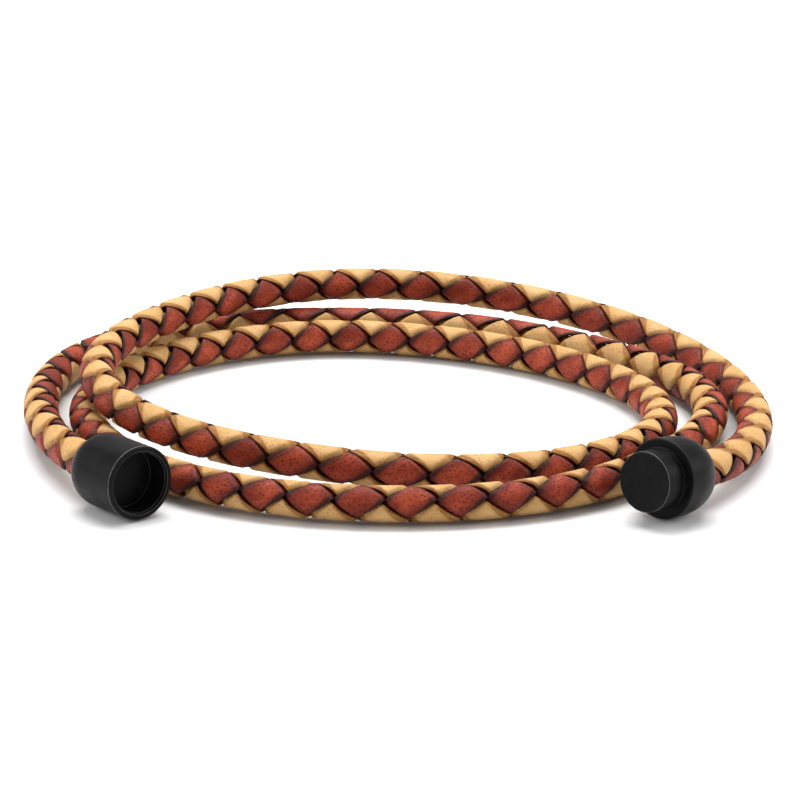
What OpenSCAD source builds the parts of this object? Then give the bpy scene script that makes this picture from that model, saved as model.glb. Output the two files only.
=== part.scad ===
// Wrap bracelet of braided leather, lying open on a table with its clasp unfastened.
// Four flat laces, two tan and two red-brown, are plaited into one round braid.
// The braid goes round three times, from the cup half of the clasp to the plug half.
// Millimetres. X is to the viewer's right, Y is away from the viewer, Z is up.
// The table is at Z = 0 and the origin is under the middle of the bracelet.

/* [Braid] */
// Diameter over the crests of the braid
braid_d = 4.1; // [4:0.05:4.1]
// Half the angle round the braid that one lace covers, in degrees
lace_half = 72; // [60:2:72]
// Thickness of a lace along its middle
lace_t = 0.85; // [0.5:0.05:0.85]

/* [Clasp cup] */
// Outer diameter of the cup
cup_d = 7.8; // [7.6:0.1:8]
// Length of the cup from its mouth to its back
cup_len = 8.4; // [8:0.1:9]
// Diameter of the socket that takes the stud
socket_d = 6.4; // [6.35:0.05:6.6]
// Depth of the socket
socket_depth = 2.9; // [2:0.1:3.2]
// Diameter of the socket's bevelled mouth
mouth_d = 6.7; // [6.65:0.05:6.9]
// Depth of that bevel
mouth_depth = 0.2; // [0.1:0.05:0.4]

/* [Clasp plug] */
// Outer diameter of the collar
collar_d = 8.4; // [8:0.1:8.6]
// Length of the collar and its round back
collar_len = 5.6; // [5.5:0.1:6.4]
// Diameter of the stud that goes into the socket
stud_d = 6.3; // [5.8:0.05:6.3]
// Length of the stud
stud_len = 2.8; // [2:0.1:3]
// Diameter of the sloping foot of the stud
root_d = 6.6; // [6.4:0.05:6.65]
// Height of that slope
root_h = 0.2; // [0.1:0.05:0.3]

/* [Clasp, both halves] */
// Diameter of the hole that the braid is glued into
cord_hole_d = 4.5; // [4.4:0.1:4.8]
// Depth of that hole
cord_hole_depth = 3.4; // [3.3:0.1:3.6]
// Width of the bevel on the outer edges
bevel = 0.15; // [0.05:0.05:0.3]

/* [Hidden] */

// The braid's centre line is a smooth curve drawn near these points, cup end first.
// The points are evenly spaced along the weave, so the braid turns as much from one
// to the next, and its pitch is a little longer where the photo shows it stretched.
// roll is where the tan column sits: 0 on top, 90 towards the middle of the bracelet.
X = 0;
Y = 1;
Z = 2;
ROLL = 3;
ROUTE = [
//   x      y     z   roll
  [-18.0, -41.7, 4.6, 168],
  [-30.2, -31.8, 3.9, 164],
  [-37.0, -18.6, 3.2, 152],
  [-40.1,  -3.5, 2.5, 135],
  [-39.4,  10.7, 2.2, 116],
  [-33.4,  22.2, 2.1, 104],
  [-21.8,  29.0, 2.1, 100],
  [ -6.5,  31.1, 2.1,  98],
  [  8.7,  28.2, 2.2,  82],
  [ 22.3,  20.4, 2.1,  72],
  [ 32.9,   8.7, 2.1,  52],
  [ 36.2,  -4.3, 2.3,  42],
  [ 32.4, -17.3, 2.3,  44],
  [ 23.5, -29.0, 2.1,  35],
  [ 11.1, -35.7, 2.1,  36],
  [ -3.5, -36.8, 2.2,  32],
  [-16.8, -33.0, 2.2,  28],
  [-27.0, -24.6, 2.1,  34],
  [-33.3, -13.2, 2.1,  36],
  [-35.3,  -0.8, 2.1,  30],
  [-30.8,  11.0, 2.1,  13],
  [-21.7,  20.7, 2.2,  -3],
  [ -8.8,  25.8, 2.2,  -1],
  [  5.2,  23.2, 2.1,  -6],
  [ 17.9,  16.1, 2.1, -14],
  [ 27.3,   4.7, 2.2,  -9],
  [ 30.4,  -7.3, 2.2,   8],
  [ 26.8, -17.6, 2.1,   3],
  [ 17.2, -25.2, 2.1,  -3],
  [  2.2, -28.1, 2.5,   7],
  [-13.8, -25.5, 3.7,   8],
  [-25.7, -20.0, 5.0,  -4],
  [-33.5,  -9.7, 6.3,  -5],
  [-33.5,   5.1, 6.6,   3],
  [-26.1,  19.3, 6.6,   2],
  [-15.7,  30.2, 6.5,  -3],
  [ -2.3,  37.1, 5.6,  -2],
  [ 13.7,  36.2, 4.2,   1],
  [ 28.5,  26.8, 2.8,  -2],
  [ 37.6,  11.3, 2.1, -16],
  [ 40.7,  -5.8, 2.1, -29],
  [ 37.6, -21.9, 2.6, -36],
  [ 29.3, -34.0, 4.0, -39],
  [ 17.2, -41.5, 6.4, -43]
];
// Turns of a lace round the braid from one point of the route to the next
turns_per_row = 1.385;
turns = turns_per_row * (len(ROUTE) - 3);
// Part of a turn that the weave is already on at the start, as its place in the photo says
lead = 0.34;

// The weights that the four nearest points have at a place u between the middle two
function pull(u) = [
  pow(1 - u, 3) / 6,
  (3 * pow(u, 3) - 6 * pow(u, 2) + 4) / 6,
  (-3 * pow(u, 3) + 3 * pow(u, 2) + 3 * u + 1) / 6,
  pow(u, 3) / 6
];
function pull_rate(u) = [
  -pow(1 - u, 2) / 2,
  (3 * pow(u, 2) - 4 * u) / 2,
  (-3 * pow(u, 2) + 2 * u + 1) / 2,
  pow(u, 2) / 2
];
function near_points(turn, weights) =
  let (row = min(max(floor(turn / turns_per_row), 0), len(ROUTE) - 4),
       w = (weights == "pull") ? pull(turn / turns_per_row - row) : pull_rate(turn / turns_per_row - row))
  w[0] * ROUTE[row] + w[1] * ROUTE[row + 1] + w[2] * ROUTE[row + 2] + w[3] * ROUTE[row + 3];
function unit(v) = v / norm(v);

// Brings the middle of the bracelet over the origin and its lowest point to the table
SETTLE = [-0.003, 0.343, 0.02];

// A point of the braid: how many turns along, which way round from the top, how far out
function braid_point(turn, angle, radius) =
  let (here = near_points(turn, "pull"),
       ahead = near_points(turn, "rate"),
       along = unit([ahead[X], ahead[Y], ahead[Z]]),
       inward = unit(cross(along, [0, 0, 1])),
       upward = cross(inward, along))
  SETTLE + [here[X], here[Y], here[Z]]
    + radius * (cos(angle + here[ROLL]) * upward + sin(angle + here[ROLL]) * inward);

// Radii of a lace's outer face, inner face and edges, as it passes over another lace,
// between two of them, and under one. A lace lies over and under in turn, and its
// cross-section is a flat lens whose edges are skived thin.
OUTER = 0;
INNER = 1;
EDGE = 2;
crest = braid_d / 2;
LEVELS = [
//  outer face      inner face                 edge
  [crest,           crest - lace_t,            crest - 0.1],
  [crest - 0.15,    crest - 0.3 - lace_t,      crest - 0.6],
  [crest - 1.2,     crest - 1.05 - lace_t,     crest - 1.43],
  [crest - 0.15,    crest - 0.3 - lace_t,      crest - 0.6]
];

// One cross-section of a lace, square to it. step counts quarters of one over and under.
// The two edges lie as far round the braid and along it as the lace is wide.
function lace_ring(hand, start, rise, step) =
  let (level = LEVELS[(step + rise) % 4], weave = step * 90)
  [for (corner = [[-lace_half, EDGE], [0, OUTER], [lace_half, EDGE], [0, INNER]])
    braid_point((weave - corner[0]) / 720 - lead, hand * (weave + corner[0]) / 2 + start, level[corner[1]])];

// A patch between two cross-sections, folded along the line that lies closest to the
// braid's round: from b to d on the outer face, and from a to c underneath
function facets(a, b, c, d, outer, turned) =
  let (pair = outer ? [[a, b, d], [b, c, d]] : [[a, b, c], [a, c, d]])
  turned ? pair : [for (facet = pair) [facet[2], facet[1], facet[0]]];

// A lace is a chain of such cross-sections, closed at both ends
module lace(hand, start, rise) {
  first = ceil((lead * 720 + lace_half) / 90);
  last = floor(((lead + turns) * 720 - lace_half) / 90);
  rings = [for (step = [first : last]) lace_ring(hand, start, rise, step)];
  n = len(rings);
  walls = [for (i = [0 : n - 2], j = [0 : 3])
    let (a = 4 * i + j, b = 4 * i + (j + 1) % 4, c = b + 4, d = a + 4)
    each facets(a, b, c, d, j < 2, hand < 0)];
  e = 4 * (n - 1);
  ends = hand < 0
    ? [[0, 2, 1], [0, 3, 2], [e, e + 1, e + 2], [e, e + 2, e + 3]]
    : [[0, 1, 2], [0, 2, 3], [e, e + 2, e + 1], [e, e + 3, e + 2]];
  polyhedron(points = [for (ring = rings) each ring], faces = concat(walls, ends), convexity = 10);
}

module tan_lace_1() {
  color("#e9bd7c") lace(hand = 1, start = 0, rise = 0);
}

module tan_lace_2() {
  color("#e9bd7c") lace(hand = 1, start = 180, rise = 0);
}

module brown_lace_1() {
  color("#93412f") lace(hand = -1, start = 0, rise = 2);
}

module brown_lace_2() {
  color("#93412f") lace(hand = -1, start = 180, rise = 2);
}

// Where each half of the clasp lies: the middle of its open face, the way it faces,
// counted from the viewer's side towards the right, and how far its nose points up
CUP_AT = [-26, -35.3, 4.08];
CUP_TURN = 38.5;
CUP_PITCH = 2;
PLUG_AT = [27.15, -35, 4.47];
PLUG_TURN = -41.5;
PLUG_PITCH = 7;

module place_clasp(at, turn, pitch) {
  translate(SETTLE + at) rotate([0, 90 - pitch, turn - 90]) children();
}

// The outer shape of a clasp half, lying behind its face: a straight barrel, then an
// elliptical dome down to the rim of the cord hole
dome_steps = 9;
module barrel(d, length, dome) {
  rim_r = cord_hole_d / 2 + 0.2;
  rotate_extrude($fn = 96) polygon(concat(
    [[0, 0], [d / 2 - bevel, 0], [d / 2, -bevel]],
    [for (i = [0 : dome_steps])
      [rim_r + (d / 2 - rim_r) * cos(90 * i / dome_steps), -length + dome - dome * sin(90 * i / dome_steps)]],
    [[0, -length]]
  ));
}

module cord_hole(length) {
  translate([0, 0, -length - 1]) cylinder(d = cord_hole_d, h = cord_hole_depth + 1, $fn = 64);
}

module clasp_cup() {
  color("#262628") place_clasp(CUP_AT, CUP_TURN, CUP_PITCH)
  difference() {
    barrel(cup_d, cup_len, 2.6);
    translate([0, 0, -socket_depth]) cylinder(d = socket_d, h = socket_depth + 1, $fn = 96);
    translate([0, 0, -mouth_depth])
      cylinder(d1 = socket_d, d2 = 2 * mouth_d - socket_d, h = 2 * mouth_depth, $fn = 96);
    cord_hole(cup_len);
  }
}

module clasp_plug() {
  color("#262628") place_clasp(PLUG_AT, PLUG_TURN, PLUG_PITCH)
  difference() {
    union() {
      barrel(collar_d, collar_len, 4);
      cylinder(d1 = root_d, d2 = stud_d, h = root_h, $fn = 96);
      translate([0, 0, -1]) cylinder(d = stud_d, h = stud_len + 1 - bevel, $fn = 96);
      translate([0, 0, stud_len - bevel])
        cylinder(d1 = stud_d, d2 = stud_d - 2 * bevel, h = bevel, $fn = 96);
    }
    cord_hole(collar_len);
  }
}

tan_lace_1();
tan_lace_2();
brown_lace_1();
brown_lace_2();
clasp_cup();
clasp_plug();
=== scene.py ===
"""Looks of a wrap bracelet of braided leather, lying open with its clasp unfastened.

Four flat laces, two tan and two red-brown, are plaited into one round braid that goes
round three times. Each end is glued into one half of a black metal clasp. Everything is
in metres and lies where the part's own solids lie.
"""

import math

import bmesh
import bpy
import numpy as np
from mathutils import Matrix, Vector


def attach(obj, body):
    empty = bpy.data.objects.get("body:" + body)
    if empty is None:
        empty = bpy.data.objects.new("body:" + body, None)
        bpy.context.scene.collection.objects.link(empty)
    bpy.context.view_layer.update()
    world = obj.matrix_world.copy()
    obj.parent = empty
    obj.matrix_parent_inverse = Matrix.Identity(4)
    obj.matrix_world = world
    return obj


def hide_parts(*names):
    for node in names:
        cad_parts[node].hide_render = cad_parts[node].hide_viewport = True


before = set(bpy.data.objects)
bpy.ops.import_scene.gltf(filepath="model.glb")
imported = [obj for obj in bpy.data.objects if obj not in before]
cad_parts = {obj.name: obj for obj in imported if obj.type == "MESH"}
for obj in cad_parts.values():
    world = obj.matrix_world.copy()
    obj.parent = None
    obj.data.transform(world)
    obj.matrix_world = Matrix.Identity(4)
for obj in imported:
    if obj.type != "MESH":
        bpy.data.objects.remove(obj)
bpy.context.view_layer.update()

MM = 0.001

# The braid's route, as in the part's source: x, y, z in metres, and the roll in degrees
# that says where the tan column sits, 0 on top and 90 towards the middle
ROUTE = np.array([
    (-0.0180, -0.0417, 0.0046, 168), (-0.0302, -0.0318, 0.0039, 164),
    (-0.0370, -0.0186, 0.0032, 152), (-0.0401, -0.0035, 0.0025, 135),
    (-0.0394, 0.0107, 0.0022, 116), (-0.0334, 0.0222, 0.0021, 104),
    (-0.0218, 0.0290, 0.0021, 100), (-0.0065, 0.0311, 0.0021, 98),
    (0.0087, 0.0282, 0.0022, 82), (0.0223, 0.0204, 0.0021, 72),
    (0.0329, 0.0087, 0.0021, 52), (0.0362, -0.0043, 0.0023, 42),
    (0.0324, -0.0173, 0.0023, 44), (0.0235, -0.0290, 0.0021, 35),
    (0.0111, -0.0357, 0.0021, 36), (-0.0035, -0.0368, 0.0022, 32),
    (-0.0168, -0.0330, 0.0022, 28), (-0.0270, -0.0246, 0.0021, 34),
    (-0.0333, -0.0132, 0.0021, 36), (-0.0353, -0.0008, 0.0021, 30),
    (-0.0308, 0.0110, 0.0021, 13), (-0.0217, 0.0207, 0.0022, -3),
    (-0.0088, 0.0258, 0.0022, -1), (0.0052, 0.0232, 0.0021, -6),
    (0.0179, 0.0161, 0.0021, -14), (0.0273, 0.0047, 0.0022, -9),
    (0.0304, -0.0073, 0.0022, 8), (0.0268, -0.0176, 0.0021, 3),
    (0.0172, -0.0252, 0.0021, -3), (0.0022, -0.0281, 0.0025, 7),
    (-0.0138, -0.0255, 0.0037, 8), (-0.0257, -0.0200, 0.0050, -4),
    (-0.0335, -0.0097, 0.0063, -5), (-0.0335, 0.0051, 0.0066, 3),
    (-0.0261, 0.0193, 0.0066, 2), (-0.0157, 0.0302, 0.0065, -3),
    (-0.0023, 0.0371, 0.0056, -2), (0.0137, 0.0362, 0.0042, 1),
    (0.0285, 0.0268, 0.0028, -2), (0.0376, 0.0113, 0.0021, -16),
    (0.0407, -0.0058, 0.0021, -29), (0.0376, -0.0219, 0.0026, -36),
    (0.0293, -0.0340, 0.0040, -39), (0.0172, -0.0415, 0.0064, -43),
])
# How far the part's source shifts braid and clasp to set the part's box on the origin
SETTLE = np.array([-0.000003, 0.000343, 0.00002])
TURNS_PER_ROW = 1.385
TURNS = TURNS_PER_ROW * (len(ROUTE) - 3)
LEAD = 0.34  # part of a turn that the weave is already on at the start

# A lace is measured in degrees of the weave, both across it and along it
WEAVE_TURN = 720  # in which a lace goes once round the braid
REPEAT = 360  # in which it goes over one lace and under the next
HALF_REPEAT = REPEAT // 2
QUARTER = REPEAT // 4  # from the middle of a place that shows to the neighbour's edge
DEGREE = 0.0228  # millimetres of lace in a degree of the weave
END_ROOM = 76  # how far the laces stop short of the route's ends
# Where a lace has a ring of points in each half repeat, closer together where it dives
STEP_IN = (0, 24, 44, 58, 66, 73, 80, 87, 94, 100, 106, 112, 118, 126, 140, 160)

SWAY = 15  # how far a lace swings to and fro, so it lies more lengthwise where it shows
DIVE = 27  # how far to each side of a neighbour's edge a lace is still diving
LATER = 4  # how much later the middle of a lace dives than its edges
HIDDEN_WIDTH = 6  # how much wider a lace is where it lies under another
# From the middle of a place that shows: where each change starts, and how far it takes
WIDENING = (105, 45)
THICKENING = (90, 60)
# The last of these is where painted shade darkens a lace as it goes under its neighbour
TUCK_SHADING = (48, 34)
CORNERS_END = 112
CORNERS_FADE = 24

CREST = 1.97 * MM  # how far out from the braid's middle a lace's face is at its highest
PRESSED_FROM = 1.91 * MM  # and how far out a lace starts to be pressed flatter
PRESSED = 0.25  # share that is left of its height past that
FACE = 0.33 * MM  # half a lace's thickness at its face
EDGE_TOP = 0.14 * MM  # at the top of its skived edge
EDGE_FOOT = -0.01 * MM  # and at the foot of it
RISE = 0.395 * MM  # how far a lace swings out and in of the braid's middle layer
MIDDLE = CREST - RISE - FACE
CORE = 0.4 * MM  # how much thicker a hidden lace is, to fill the middle of the braid
CORE_FLANK = 1.6  # how steeply that ends towards the lace's edges
FLANK_FROM = 0.7  # share of half the width past which the underside is thinner
FLANK_THINNER = 0.35  # and by which share
SLANT = 0.05 * MM  # how much higher a lace's face stands at its right edge than in its middle
END_LIFT = 0.22 * MM  # how much higher the two ends of a place that shows stand
SQUARE = 0.045  # share by which the braid is nearer square than round
SQUARE_SIDES = 4

# Half a lace's width, where its bevels begin across it, how far they run askew of its
# edges, and how much lower than its face two corners of each place that shows lie
TAN_SHAPE = {"half": 83, "bevels": 54.0, "askew": 19.0, "corner_drop": 0.02 * MM}
BROWN_SHAPE = {"half": 76, "bevels": 62.0, "askew": 11.0, "corner_drop": 0.08 * MM}

# How each place where a lace shows differs from the next, as no two are plaited quite
# alike: the least, the most, and their unit
LIVELY = {
    "left_ridge": (-4, 3, 1),
    "right_ridge": (-3, 4, 1),
    "lift": (-0.02, 0.02, MM),
    "tilt": (-0.03, 0.03, MM),
    "width": (-1.5, 1.0, 1),
}
SPARE_PLACES = 8
LACE_APART = 40  # millimetres between two laces in the leather that they are cut from

# The closed section of a lace, from the middle of its underside round its left edge, over
# its bevel, face and other bevel, and back. On top, 0 to 1 is the left bevel, 1 to 2 the
# face and 2 to 3 the right bevel. Underneath, the number is the share of the half width.
UNDER_LEFT = (0.0, -0.45, -0.8, -1.0)
OVER_TOP = (0.0, 0.3, 0.65, 0.92, 1.08, 1.28, 1.5, 1.72, 1.92, 2.08, 2.35, 2.7, 3.0)
UNDER_RIGHT = (1.0, 0.8, 0.45, 0.0)
UNDER = np.array(UNDER_LEFT + (0,) * len(OVER_TOP) + UNDER_RIGHT)
OVER = np.array((0,) * len(UNDER_LEFT) + OVER_TOP + (0,) * len(UNDER_RIGHT))
AROUND = len(UNDER) - 1
SAME_LACE_POINT = 1e-7


def braid_line(turn):
    """The middle of the braid, the way it runs and its roll, this many turns from its start"""
    row = np.clip(np.floor(turn / TURNS_PER_ROW).astype(int), 0, len(ROUTE) - 4)
    u = turn / TURNS_PER_ROW - row
    pull = (
        (1 - u) ** 3 / 6,
        (3 * u**3 - 6 * u**2 + 4) / 6,
        (-3 * u**3 + 3 * u**2 + 3 * u + 1) / 6,
        u**3 / 6,
    )
    rate = (
        -((1 - u) ** 2) / 2,
        (3 * u**2 - 4 * u) / 2,
        (-3 * u**2 + 2 * u + 1) / 2,
        u**2 / 2,
    )
    here = sum(share[:, None] * ROUTE[row + k] for k, share in enumerate(pull))
    ahead = sum(share[:, None] * ROUTE[row + k] for k, share in enumerate(rate))
    return here[:, :3], ahead[:, :3], here[:, 3]


def on_braid(turn, angle, radius):
    """Points of the braid: turns along it, degrees round it, metres out from its middle"""
    here, ahead, roll = braid_line(turn)
    along = ahead / np.linalg.norm(ahead, axis=1)[:, None]
    inward = np.cross(along, (0.0, 0.0, 1.0))
    inward /= np.linalg.norm(inward, axis=1)[:, None]
    upward = np.cross(inward, along)
    round_it = np.radians(angle + roll)[:, None]
    outward = np.cos(round_it) * upward + np.sin(round_it) * inward
    return SETTLE + here + radius[:, None] * outward


def weave_stations():
    """Where along the weave a lace has a ring of points"""
    first = math.ceil((LEAD * WEAVE_TURN + END_ROOM) / QUARTER) * QUARTER
    last = math.floor(((LEAD + TURNS) * WEAVE_TURN - END_ROOM) / QUARTER) * QUARTER
    halves = range(int(last / HALF_REPEAT) + 1)
    places = [half * HALF_REPEAT + step for half in halves for step in STEP_IN]
    return np.array([place for place in places if first <= place <= last] + [float(last)])


def liveliness(seed):
    """For each kind of liveliness, its value at each place where a lace shows"""
    chance = np.random.RandomState(seed)
    count = int(TURNS * WEAVE_TURN / REPEAT) + SPARE_PLACES
    return {
        kind: chance.uniform(least, most, count) * unit
        for kind, (least, most, unit) in LIVELY.items()
    }


def grown(value, start, distance):
    """0 up to a start, then growing evenly to 1 over a distance"""
    return np.clip((value - start) / distance, 0, 1)


def section_points(section, half, left, right, hidden):
    """Across a lace, its height there, how bevelled it is and whether it is the underside"""
    below, above = UNDER[section], OVER[section]
    under = (section < len(UNDER_LEFT)) | (section >= len(UNDER_LEFT) + len(OVER_TOP))
    foot = np.abs(below) == 1
    on_left, on_right = above < 1, above > 2
    across_left = -half + above * (left + half)
    across_face = left + np.clip(above - 1, 0, 1) * (right - left)
    across_right = right + (above - 2) * (half - right)
    across_top = np.where(on_left, across_left, np.where(on_right, across_right, across_face))
    across = np.where(under, below * half, across_top)

    slope = np.where(on_left, 1 - above, np.where(on_right, above - 2, 0))
    top = FACE - slope * (FACE - EDGE_TOP)
    core = CORE * hidden * np.clip(CORE_FLANK - CORE_FLANK * np.abs(below), 0, 1)
    bottom = -FACE * (1 - FLANK_THINNER * (np.abs(below) > FLANK_FROM)) - core
    bottom = np.where(foot, EDGE_FOOT, bottom)
    bevel = np.where(under, np.where(foot, 1.0, 0.0), slope)
    return across, top, bottom, bevel, under


def lace_points(weave, section, hand, start, rise, shape, lively):
    """Places of a lace's points, with where they lie on the flat lace, how bevelled each is, how
    far it lies under its neighbour, which sets the painted shade there, and whether it is on the
    underside. The hand is 1 or -1, the start is degrees round the braid, and the rise is quarters
    of a repeat."""
    phase = weave + rise * QUARTER
    crossing = np.floor((phase + HALF_REPEAT) / REPEAT).astype(int)
    since_over = phase - crossing * REPEAT
    away = np.abs(since_over)
    shows = np.cos(np.radians(since_over / 2)) ** 2
    half = shape["half"] + lively["width"][crossing] * shows + HIDDEN_WIDTH * grown(away, *WIDENING)
    shift = shape["askew"] * np.sin(np.radians(since_over))
    left = -shape["bevels"] + shift + lively["left_ridge"][crossing]
    right = shape["bevels"] + shift + lively["right_ridge"][crossing]
    across, top, bottom, bevel, under = section_points(
        section, half, left, right, grown(away, *THICKENING)
    )
    top += SLANT * shows * across / half

    dives_at = QUARTER + LATER * (1 - (across / half) ** 2)
    # from 1, riding over a neighbour, to -1, lying under the next
    rides = np.sin(math.pi / 2 * np.clip((dives_at - away) / DIVE, -1, 1))
    radius = MIDDLE + RISE * rides + np.where(under, bottom, top)
    radius += shows * (lively["lift"][crossing] + lively["tilt"][crossing] * across / half)
    # 1 at two corners of a place that shows, -1 at the other two
    corner = np.clip(across * since_over / half**2, -1, 1)
    corner *= np.abs(corner) * grown(CORNERS_END - away, 0, CORNERS_FADE)
    radius -= np.where(corner > 0, shape["corner_drop"], END_LIFT) * corner
    swung = across - SWAY * np.sin(np.radians(since_over))
    angle = hand * (weave + swung) / 2 + start
    radius *= 1 - SQUARE * np.cos(np.radians(SQUARE_SIDES * angle))
    radius -= (1 - PRESSED) * np.clip(radius - PRESSED_FROM, 0, None)
    places = on_braid((weave - swung) / WEAVE_TURN - LEAD, angle, radius)
    flat = np.stack((weave * DEGREE, across * DEGREE), axis=1)
    return places, flat, bevel, grown(away, *TUCK_SHADING), under


def as_piece(shape, name):
    """Turns a finished bmesh into a smooth-shaded object at the origin"""
    mesh = bpy.data.meshes.new(name)
    shape.to_mesh(mesh)
    shape.free()
    mesh.polygons.foreach_set("use_smooth", [True] * len(mesh.polygons))
    piece = bpy.data.objects.new(name, mesh)
    bpy.context.scene.collection.objects.link(piece)
    return piece


def braided_lace(name, hand, start, rise, shape, seed):
    """A lace cut flat from a grid, rolled into its closed section and laid into the braid"""
    weave = weave_stations()
    rings = len(weave) - 1
    strap = bmesh.new()
    bmesh.ops.create_grid(strap, x_segments=rings, y_segments=AROUND, size=0.5)
    grid = np.array([vert.co[:2] for vert in strap.verts])
    ring = np.rint((grid[:, 0] + 0.5) * rings).astype(int)
    section = np.rint((grid[:, 1] + 0.5) * AROUND).astype(int)
    places, flat, bevel, tuck_shade_mask, under = lace_points(
        weave[ring], section, hand, start, rise, shape, liveliness(seed)
    )
    flat[:, 0] += seed * LACE_APART

    laid_flat = strap.loops.layers.uv.new("laid_flat")
    edge_layer = strap.verts.layers.float.new("bevelled")
    tuck_shade_layer = strap.verts.layers.float.new("tuck_shade_mask")
    flesh_layer = strap.verts.layers.float.new("flesh_side")
    for number, vert in enumerate(strap.verts):
        vert.co = places[number]
        vert[edge_layer] = bevel[number]
        vert[tuck_shade_layer] = tuck_shade_mask[number]
        vert[flesh_layer] = under[number]
        for loop in vert.link_loops:
            loop[laid_flat].uv = flat[number]
    bmesh.ops.remove_doubles(strap, verts=strap.verts, dist=SAME_LACE_POINT)
    ends = [edge for edge in strap.edges if edge.is_boundary]
    bmesh.ops.holes_fill(strap, edges=ends)
    bmesh.ops.recalc_face_normals(strap, faces=strap.faces)
    return as_piece(strap, name)


# The clasp's halves are turned on a lathe. Each row of a profile is radius and height in
# millimetres, the rounding of that corner, and how bright that corner is painted, partly for
# wear and partly as a painted highlight where the rounding catches the light. The open face
# is at height 0, and the braid comes in from below.
CUP_PROFILE = (
    (0.0, -2.9, 0.0, 0.0),
    (3.2, -2.9, 0.14, 0.35),
    (3.2, -0.3, 0.04, 0.6),
    (3.35, -0.3, 0.03, 0.2),
    (3.35, 0.0, 0.05, 0.7),
    (3.75, 0.0, 0.06, 0.3),
    (3.9, -0.15, 0.07, 0.8),
)
PLUG_PROFILE = (
    (0.0, 2.8, 0.0, 0.0),
    (3.0, 2.8, 0.06, 0.25),
    (3.15, 2.65, 0.07, 0.7),
    (3.15, 0.25, 0.05, 0.1),
    (3.3, 0.25, 0.04, 0.4),
    (3.3, 0.0, 0.03, 0.1),
    (4.05, 0.0, 0.06, 0.2),
    (4.2, -0.15, 0.07, 0.4),
)
# The rest of each half in millimetres, where the middle of its open face lies, how far it
# is turned on the table, and how many degrees that face points up
CUP = {"outer": 3.9, "length": 8.4, "dome": 2.6}
CUP_LIES = {"at": (-26, -35.3, 4.08), "turn": 38.5, "pitch": 2}
PLUG = {"outer": 4.2, "length": 5.6, "dome": 4.0}
PLUG_LIES = {"at": (27.15, -35, 4.47), "turn": -41.5, "pitch": 7}
DOME_ANGLES = range(0, 86, 5)
CORD_HOLE = 2.25
CORD_HOLE_DEPTH = 3.4
RIM_WIDTH = 0.2  # of the flat ring round that hole
RIM_ROUNDING = 0.05
RIM_WEAR_GLINT = 0.5
ROUNDING_STEPS = 5
LONG_STRETCH = 0.25  # millimetres past which a stretch of the profile has a middle without wear or painted highlight
WEAR_GLINT_REACH = 0.05
FACETS = 96
SAME_LATHE_POINT = 1e-6


def back_profile(outer, length, dome):
    """The straight barrel, its elliptical dome and the hole that the braid is glued into"""
    rim = CORD_HOLE + RIM_WIDTH
    rows = []
    for angle in DOME_ANGLES:
        radius = rim + (outer - rim) * math.cos(math.radians(angle))
        height = dome - length - dome * math.sin(math.radians(angle))
        rows.append((radius, height, 0.0, 0.0))
    return tuple(rows) + (
        (rim, -length, RIM_ROUNDING, RIM_WEAR_GLINT),
        (CORD_HOLE, -length, RIM_ROUNDING, RIM_WEAR_GLINT),
        (CORD_HOLE, CORD_HOLE_DEPTH - length, RIM_ROUNDING, 0.0),
        (0.0, CORD_HOLE_DEPTH - length, 0.0, 0.0),
    )


def rounded_profile(rows):
    """A profile with its corners rounded: place and share of wear and painted highlight at each of
    its points
    """
    line = []
    for number, (radius, height, rounding, wear_glint) in enumerate(rows):
        corner = Vector((radius, height))
        if rounding == 0:
            line.append((corner, wear_glint))
            continue
        before = corner + (Vector(rows[number - 1][:2]) - corner).normalized() * rounding
        after = corner + (Vector(rows[number + 1][:2]) - corner).normalized() * rounding
        for step in range(ROUNDING_STEPS + 1):
            t = step / ROUNDING_STEPS
            place = before * (1 - t) ** 2 + corner * 2 * t * (1 - t) + after * t**2
            line.append((place, wear_glint * math.sin(math.pi * t)))
    return line


def with_plain_faces(line):
    """Adds points without wear or painted highlight just inside each long stretch, so both keep to
    the corners
    """
    full = [line[0]]
    for (start, _), (end, wear_glint) in zip(line, line[1:]):
        if (end - start).length > LONG_STRETCH:
            step = (end - start).normalized() * WEAR_GLINT_REACH
            full += [(start + step, 0.0), (end - step, 0.0)]
        full.append((end, wear_glint))
    return full


def turned_half(name, rows, at, turn, pitch):
    """Half of the clasp: its profile spun round, then laid where it lies on the table"""
    shape = bmesh.new()
    wear_glint_layer = shape.verts.layers.float.new("wear_glint")
    before = None
    for place, wear_glint in with_plain_faces(rounded_profile(rows)):
        vert = shape.verts.new((place.x * MM, 0, place.y * MM))
        vert[wear_glint_layer] = wear_glint
        if before:
            shape.edges.new((before, vert))
        before = vert
    bmesh.ops.spin(
        shape, geom=shape.verts[:] + shape.edges[:], cent=(0, 0, 0), axis=(0, 0, 1),
        angle=math.tau, steps=FACETS, use_merge=True, use_duplicate=False,
    )
    bmesh.ops.remove_doubles(shape, verts=shape.verts, dist=SAME_LATHE_POINT)
    bmesh.ops.recalc_face_normals(shape, faces=shape.faces)
    lathe_layer = shape.verts.layers.float_vector.new("on_lathe")
    for vert in shape.verts:
        vert[lathe_layer] = vert.co / MM
    lie = (
        Matrix.Translation(Vector(SETTLE) + Vector(at) * MM)
        @ Matrix.Rotation(math.radians(turn - 90), 4, "Z")
        @ Matrix.Rotation(math.radians(90 - pitch), 4, "Y")
    )
    bmesh.ops.transform(shape, matrix=lie, verts=shape.verts)
    piece = as_piece(shape, name)
    piece.modifiers.new("even_shading", "WEIGHTED_NORMAL")
    return piece


def new_finish(name):
    """An empty finish: its material, its node tree and its shader"""
    finish = bpy.data.materials.new(name)
    finish.use_nodes = True
    return finish, finish.node_tree, finish.node_tree.nodes["Principled BSDF"]


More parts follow.
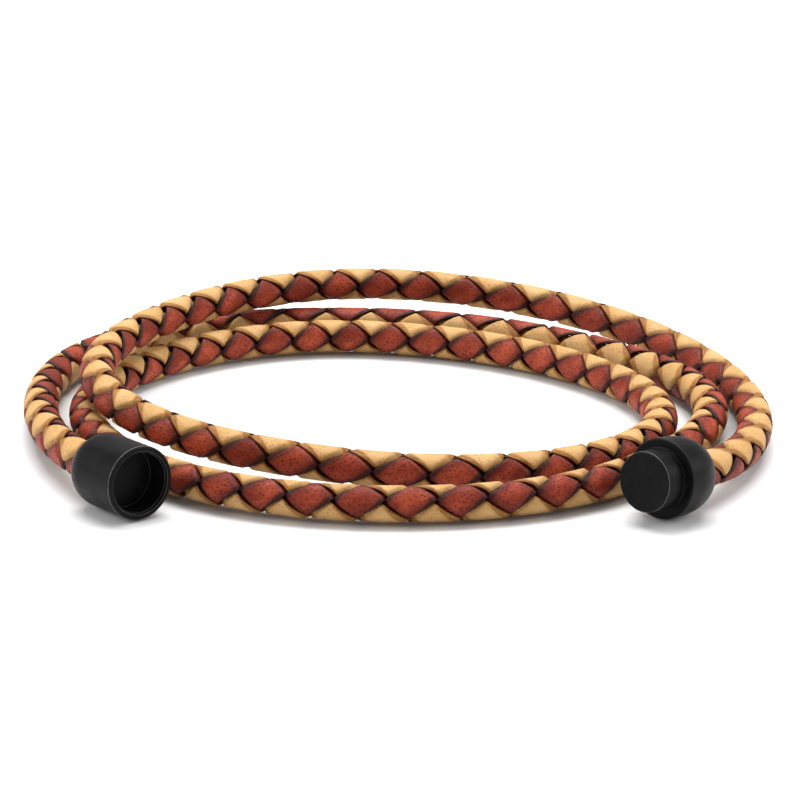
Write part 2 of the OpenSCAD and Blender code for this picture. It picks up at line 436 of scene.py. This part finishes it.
def add(tree, kind, feeds=None, **settings):
    """Adds a node, with its settings, and with values or other nodes' outputs on its inputs"""
    made = tree.nodes.new(kind)
    for key, value in settings.items():
        setattr(made, key, value)
    for key, value in (feeds or {}).items():
        if isinstance(value, bpy.types.NodeSocket):
            tree.links.new(value, made.inputs[key])
        else:
            made.inputs[key].default_value = value
    return made


def maths(tree, operation, *values):
    return add(tree, "ShaderNodeMath", dict(enumerate(values)), operation=operation).outputs[0]


def plus(tree, first, second, times=1.0):
    """A value plus another, which is first multiplied by a number"""
    return maths(tree, "ADD", first, maths(tree, "MULTIPLY", second, times))


def product(tree, first, second):
    return maths(tree, "MULTIPLY", first, second)


def between(tree, value, low, high, to_low=0.0, to_high=1.0):
    """Spreads a value from one range to another, smoothly and held at both ends"""
    made = add(
        tree, "ShaderNodeMapRange",
        {"Value": value, "From Min": low, "From Max": high, "To Min": to_low, "To Max": to_high},
        interpolation_type="SMOOTHSTEP", clamp=True,
    )
    return made.outputs["Result"]


def blended(tree, share, first, second):
    """Two colours mixed by a share from 0 to 1"""
    made = add(
        tree, "ShaderNodeMix", {0: share, 6: first, 7: second},
        data_type="RGBA", clamp_factor=True,
    )
    return made.outputs[2]


def stretched(tree, where, scale):
    return add(tree, "ShaderNodeMapping", {"Vector": where, "Scale": scale}).outputs["Vector"]


def grain(tree, where, scale, detail, roughness=0.55):
    """A noise over a place. Its scale is one number, or one for each way."""
    if isinstance(scale, tuple):
        where, scale = stretched(tree, where, scale), 1.0
    feeds = {"Vector": where, "Scale": scale, "Detail": detail, "Roughness": roughness}
    return add(tree, "ShaderNodeTexNoise", feeds).outputs["Fac"]


def attribute(tree, name, output="Fac"):
    return add(tree, "ShaderNodeAttribute", attribute_name=name).outputs[output]


def bumpy(tree, shader, height, strength, depth):
    bump = add(tree, "ShaderNodeBump", {"Height": height, "Strength": strength, "Distance": depth})
    tree.links.new(bump.outputs["Normal"], shader.inputs["Normal"])


# The noises in the leather: how often each changes in a millimetre along a lace, across it
# and down, then its detail and its roughness
LEATHER_GRAINS = {
    "mottle": ((0.16, 0.3, 1), 2.0, 0.55),
    "patches": ((0.7, 1.1, 1), 4.0, 0.6),
    "fibres": ((1.6, 11, 1), 4.0, 0.6),
    "wrinkles": ((7.0, 2.4, 1), 4.0, 0.65),
    "streaks": ((0.5, 14, 1), 3.0, 0.55),
    "creases": ((5.0, 2.6, 1), 5.0, 0.7),
    "pore_room": (0.45, 2.0, 0.55),
    "skin": (11.0, 3.0, 0.55),
}
# Where each of these starts to show, and where it shows fully
MOTTLE_SHOWS = (0.36, 0.64)
PATCHES_SHOW = (0.42, 0.7)
FIBRES_SHOW = (0.5, 0.75)
WRINKLES_SHOW = (0.52, 0.72)
STREAKS_SHOW = (0.48, 0.62)
PORE_ROOM_SHOWS = (0.4, 0.6)
SIDE_SHADE_FROM = (0.55, 1.45)  # painted shade on a lace's sides, from and to this many millimetres from the middle of the lace
BEVEL_SHOWS = (0.0, 0.2)  # shares of the way down a bevel, as for the next two
STREAKED_FROM = (0.05, 0.4)
CUT_FROM = (0.8, 1.0)
# How much of each shows in the colour
PATCH_SHARE = 0.55
# painted shade on a lace's underside
FLESH_SHADE_SHARE = 0.85
SIDE_SHADE_WANDER = 0.8  # how far the patches push the painted shade at a lace's sides about
PORE_STRETCH = (0.85, 1.0, 1)
PORE_RANDOMNESS = 0.8
PORE_FLOOR = 0.45  # share of a pore's radius that is its floor
# How rough the leather is over its patches, less and more than its look says, and in pores
SMOOTHER, ROUGHER, ROUGHER_PORES = 0.07, 0.1, 0.2
ROUGH_OVER = (0.3, 0.7)
# How much of each is in the relief
CREASE_RELIEF, SKIN_RELIEF, PORE_RELIEF, STREAK_RELIEF = 0.9, 0.3, -0.8, -0.25
LEATHER_BUMP = (0.9, 0.06 * MM)

# The bevel colour also paints shade at a lace's sides and where it lies under its neighbour, and
# the cut-edge colour paints shade on its underside. The shares for the sides and the tuck set how
# strong that painted shade is.
TAN = {
    "face_light": (0.51, 0.318, 0.135, 1),
    "face_dark": (0.46, 0.262, 0.095, 1),
    "patch": (0.48, 0.272, 0.098, 1),
    "pore": (0.16, 0.065, 0.016, 1),
    "bevel": (0.29, 0.122, 0.024, 1),
    "cut_edge_and_shade": (0.085, 0.024, 0.006, 1),
    "pores_per_mm": 2.2, "pore_size": 0.2, "fewest_pores": 0.0, "pore_strength": 0.7,
    "fibre": 0.3, "bevel_share": 0.85, "bleed": 0.16, "streaks": 0.95, "tuck_shade": 0.35,
    "side_shade": 0.12, "wrinkles": 0.12, "roughness": 0.55, "gloss": 0.16,
}
BROWN = {
    "face_light": (0.38, 0.061, 0.026, 1),
    "face_dark": (0.175, 0.019, 0.007, 1),
    "patch": (0.25, 0.036, 0.014, 1),
    "pore": (0.045, 0.006, 0.004, 1),
    "bevel": (0.032, 0.005, 0.0045, 1),
    "cut_edge_and_shade": (0.009, 0.0025, 0.002, 1),
    "pores_per_mm": 2.1, "pore_size": 0.25, "fewest_pores": 0.6, "pore_strength": 0.95,
    "fibre": 0.4, "bevel_share": 0.95, "bleed": 0.12, "streaks": 0.4, "tuck_shade": 0.5,
    "side_shade": 0.5, "wrinkles": 0.4, "roughness": 0.47, "gloss": 0.14,
}


def leather_pores(tree, flat, look):
    """How deep in a pore each place is, from 0 to 1. Some places have fewer pores."""
    field = add(
        tree, "ShaderNodeTexVoronoi",
        {
            "Vector": stretched(tree, flat, PORE_STRETCH),
            "Scale": look["pores_per_mm"],
            "Randomness": PORE_RANDOMNESS,
        },
        voronoi_dimensions="2D", feature="F1",
    ).outputs["Distance"]
    room = grain(tree, flat, *LEATHER_GRAINS["pore_room"])
    room = between(tree, room, *PORE_ROOM_SHOWS, look["fewest_pores"], 1)
    size = look["pore_size"]
    return product(tree, between(tree, field, size, size * PORE_FLOOR), room)


def leather(name, look):
    """Full-grain lace leather: mottled face, pores, fine creases, and dyed, burnished bevels, with
    painted shade towards each lace's sides, where it lies under its neighbour and on its underside
    """
    finish, tree, shader = new_finish(name)
    flat = add(tree, "ShaderNodeUVMap", uv_map="laid_flat").outputs["UV"]
    bevelled = attribute(tree, "bevelled")
    mottle, patches, fibres, wrinkles, streaks, creases, skin = (
        grain(tree, flat, *LEATHER_GRAINS[kind])
        for kind in ("mottle", "patches", "fibres", "wrinkles", "streaks", "creases", "skin")
    )
    pores = leather_pores(tree, flat, look)
    uneven_patches = maths(tree, "SUBTRACT", patches, 0.5)
    uneven_fibres = maths(tree, "SUBTRACT", fibres, 0.5)
    sides = maths(tree, "ABSOLUTE", add(tree, "ShaderNodeSeparateXYZ", {"Vector": flat}).outputs[1])
    sides = plus(tree, sides, uneven_patches, SIDE_SHADE_WANDER)
    wander = plus(tree, bevelled, uneven_fibres, look["bleed"])
    streaks = between(tree, streaks, *STREAKS_SHOW)
    streaks = product(tree, streaks, between(tree, wander, *STREAKED_FROM))

    colour = blended(
        tree, between(tree, mottle, *MOTTLE_SHOWS), look["face_dark"], look["face_light"]
    )
    layers = (
        (between(tree, patches, *PATCHES_SHOW, 0, PATCH_SHARE), "patch"),
        (between(tree, fibres, *FIBRES_SHOW, 0, look["fibre"]), "pore"),
        (between(tree, wrinkles, *WRINKLES_SHOW, 0, look["wrinkles"]), "pore"),
        # painted shade: darker, in the bevel colour, towards a lace's sides, to round its face
        (between(tree, sides, *SIDE_SHADE_FROM, 0, look["side_shade"]), "bevel"),
        (product(tree, pores, look["pore_strength"]), "pore"),
        (between(tree, wander, *BEVEL_SHOWS, 0, look["bevel_share"]), "bevel"),
        (product(tree, streaks, look["streaks"]), "cut_edge_and_shade"),
        (between(tree, bevelled, *CUT_FROM), "cut_edge_and_shade"),
        # painted shade: darker, in the bevel colour, where a lace lies under its neighbour
        (product(tree, attribute(tree, "tuck_shade_mask"), look["tuck_shade"]), "bevel"),
        # painted shade: the underside, seen only in the braid's shaded hollow, is painted near the
        # dark cut-edge colour
        (product(tree, attribute(tree, "flesh_side"), FLESH_SHADE_SHARE), "cut_edge_and_shade"),
    )
    for share, tint in layers:
        colour = blended(tree, share, colour, look[tint])
    tree.links.new(colour, shader.inputs["Base Color"])

    usual = look["roughness"]
    rough = between(tree, patches, *ROUGH_OVER, usual - SMOOTHER, usual + ROUGHER)
    tree.links.new(plus(tree, rough, pores, ROUGHER_PORES), shader.inputs["Roughness"])
    shader.inputs["Specular IOR Level"].default_value = look["gloss"]

    height = plus(tree, product(tree, creases, CREASE_RELIEF), skin, SKIN_RELIEF)
    height = plus(tree, height, pores, PORE_RELIEF)
    height = plus(tree, height, streaks, STREAK_RELIEF)
    bumpy(tree, shader, height, *LEATHER_BUMP)
    return finish


# The black plating: its colours, darkest first
PLATING_DARK = (0.003, 0.003, 0.0031, 1)
PLATING_LIGHT = (0.005, 0.005, 0.0052, 1)
PLATING_SPECKLE = (0.02, 0.02, 0.021, 1)
# bare metal at worn corners, partly a painted highlight along the rounded edges
WORN_METAL_AND_GLINT = (0.17, 0.17, 0.165, 1)
# Its noises: how often each changes in a millimetre, its detail and its roughness
TURNING_MARKS = ((14, 14, 1), 3.0)
CLOUD = (0.55, 3.0)
SPECKLE = (16.0, 2.0)
CHIPS = (5.0, 4.0, 0.7)
# Where each of these starts to show, and where it shows fully
CLOUD_SHOWS = (0.35, 0.65)
SPECKLE_SHOWS = (0.62, 0.75)
CHIPS_SHOW = (0.42, 0.62)
WEAR_GLINT_SHOWS = (0.15, 0.9)
SPECKLE_SHARE = 0.35
WEAR_GLINT_ANYWAY, WEAR_GLINT_IN_CHIPS = 0.55, 0.45
PLATING_ROUGH = (0.34, 0.46)
WORN_SMOOTHER = -0.1
PLATING_GLOSS = 0.07
TURNING_RELIEF, SPECKLE_RELIEF = 0.6, 0.4
PLATING_BUMP = (0.12, 0.02 * MM)


def satin_black():
    """Black plating on turned steel: satin, with faint turning marks and bright corners, partly
    wear and partly a painted highlight
    """
    finish, tree, shader = new_finish("satin_black_plating")
    place = attribute(tree, "on_lathe", "Vector")
    split = add(tree, "ShaderNodeSeparateXYZ", {"Vector": place})
    squares = [maths(tree, "POWER", split.outputs[way], 2.0) for way in (0, 1)]
    out = maths(tree, "SQRT", maths(tree, "ADD", *squares))
    profile = add(tree, "ShaderNodeCombineXYZ", {0: out, 1: split.outputs[2]}).outputs[0]
    turning = grain(tree, profile, *TURNING_MARKS)
    cloud = grain(tree, place, *CLOUD)
    speckle = grain(tree, place, *SPECKLE)
    chips = between(tree, grain(tree, place, *CHIPS), *CHIPS_SHOW)

    colour = blended(tree, between(tree, cloud, *CLOUD_SHOWS), PLATING_DARK, PLATING_LIGHT)
    speckled = between(tree, speckle, *SPECKLE_SHOWS, 0, SPECKLE_SHARE)
    colour = blended(tree, speckled, colour, PLATING_SPECKLE)
    # bright corners: partly wear, partly a painted highlight where rounded edges catch the light
    wear_glint_share = between(tree, attribute(tree, "wear_glint"), *WEAR_GLINT_SHOWS)
    wear_glint_share = product(tree, wear_glint_share, plus(tree, WEAR_GLINT_ANYWAY, chips, WEAR_GLINT_IN_CHIPS))
    colour = blended(tree, wear_glint_share, colour, WORN_METAL_AND_GLINT)
    tree.links.new(colour, shader.inputs["Base Color"])
    rough = between(tree, cloud, *ROUGH_OVER, *PLATING_ROUGH)
    tree.links.new(plus(tree, rough, wear_glint_share, WORN_SMOOTHER), shader.inputs["Roughness"])
    shader.inputs["Specular IOR Level"].default_value = PLATING_GLOSS
    height = plus(tree, product(tree, turning, TURNING_RELIEF), speckle, SPECKLE_RELIEF)
    bumpy(tree, shader, height, *PLATING_BUMP)
    return finish


def lay(piece, finish, node):
    """Gives a piece its finish and lets it stand for its solid"""
    piece.data.materials.append(finish)
    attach(piece, "root")
    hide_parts(node)


tan_leather = leather("natural_tan_leather", TAN)
brown_leather = leather("red_brown_leather", BROWN)
black_metal = satin_black()

lace = braided_lace("tan_lace_1_leather", hand=1, start=0, rise=0, shape=TAN_SHAPE, seed=11)
lay(lace, tan_leather, "tan_lace_1")
lace = braided_lace("tan_lace_2_leather", hand=1, start=180, rise=0, shape=TAN_SHAPE, seed=12)
lay(lace, tan_leather, "tan_lace_2")
lace = braided_lace("brown_lace_1_leather", hand=-1, start=0, rise=2, shape=BROWN_SHAPE, seed=13)
lay(lace, brown_leather, "brown_lace_1")
lace = braided_lace("brown_lace_2_leather", hand=-1, start=180, rise=2, shape=BROWN_SHAPE, seed=14)
lay(lace, brown_leather, "brown_lace_2")

cup = turned_half("clasp_cup_turned", CUP_PROFILE + back_profile(**CUP), **CUP_LIES)
lay(cup, black_metal, "clasp_cup")
plug = turned_half("clasp_plug_turned", PLUG_PROFILE + back_profile(**PLUG), **PLUG_LIES)
lay(plug, black_metal, "clasp_plug")

TABLE_SIZE = 3.0
TABLE_TONES = ((0.70, 0.70, 0.70, 1), (0.72, 0.72, 0.72, 1))
TABLE_GRAIN = (9.0, 3.0)
TABLE_ROUGHNESS = 0.7
TABLE_GLOSS = 0.2
SKY_STRENGTH = 0.58
# The soft boxes: where each stands, its two sides in metres and its power in watts. They
# all face the bracelet.
SOFT_BOXES = {
    "overhead_light": ((0.0, 0.30, 0.85), (0.9, 0.6), 15.0),
    "left_light": ((-0.8, -0.10, 0.40), (0.5, 0.5), 4.0),
    "right_light": ((0.8, 0.0, 0.40), (0.5, 0.5), 4.0),
}
SENSOR_WIDTH = 36.0
FOCAL_LENGTH = 149.85
EYE_AT = (0.00052, -0.35712, 0.11462)
EYE_TILT = 72.5  # degrees up from looking straight down
NEAREST, FARTHEST = 0.01, 20.0


def pale_table():
    finish, tree, shader = new_finish("pale_table_top")
    where = add(tree, "ShaderNodeTexCoord").outputs["Object"]
    tone = blended(tree, grain(tree, where, *TABLE_GRAIN), *TABLE_TONES)
    tree.links.new(tone, shader.inputs["Base Color"])
    shader.inputs["Roughness"].default_value = TABLE_ROUGHNESS
    shader.inputs["Specular IOR Level"].default_value = TABLE_GLOSS
    return finish


def table_top():
    shape = bmesh.new()
    bmesh.ops.create_grid(shape, x_segments=1, y_segments=1, size=TABLE_SIZE)
    top = as_piece(shape, "table_top")
    top.data.materials.append(pale_table())


def soft_box(name, at, size, power):
    """A large soft studio light, turned towards the bracelet"""
    lamp = bpy.data.lights.new(name, "AREA")
    lamp.shape = "RECTANGLE"
    lamp.size, lamp.size_y = size
    lamp.energy = power
    box = bpy.data.objects.new(name, lamp)
    bpy.context.scene.collection.objects.link(box)
    box.location = at
    box.rotation_euler = Vector(at).to_track_quat("Z", "Y").to_euler()
    box.visible_camera = False


def studio():
    """A pale table under even white light, with soft boxes above and at both sides"""
    table_top()
    world = bpy.data.worlds.new("white_studio")
    bpy.context.scene.world = world
    world.use_nodes = True
    sky = world.node_tree.nodes["Background"]
    sky.inputs["Color"].default_value = (1, 1, 1, 1)
    sky.inputs["Strength"].default_value = SKY_STRENGTH
    for name, (at, size, power) in SOFT_BOXES.items():
        soft_box(name, at, size, power)

    lens = bpy.data.cameras.new("long_lens")
    lens.sensor_width = SENSOR_WIDTH
    lens.lens = FOCAL_LENGTH
    lens.clip_start, lens.clip_end = NEAREST, FARTHEST
    eye = bpy.data.objects.new("long_lens", lens)
    eye.location = EYE_AT
    eye.rotation_euler = (math.radians(EYE_TILT), 0, 0)
    bpy.context.scene.collection.objects.link(eye)
    bpy.context.scene.camera = eye


studio()
bpy.context.scene.view_settings.view_transform = "Standard"
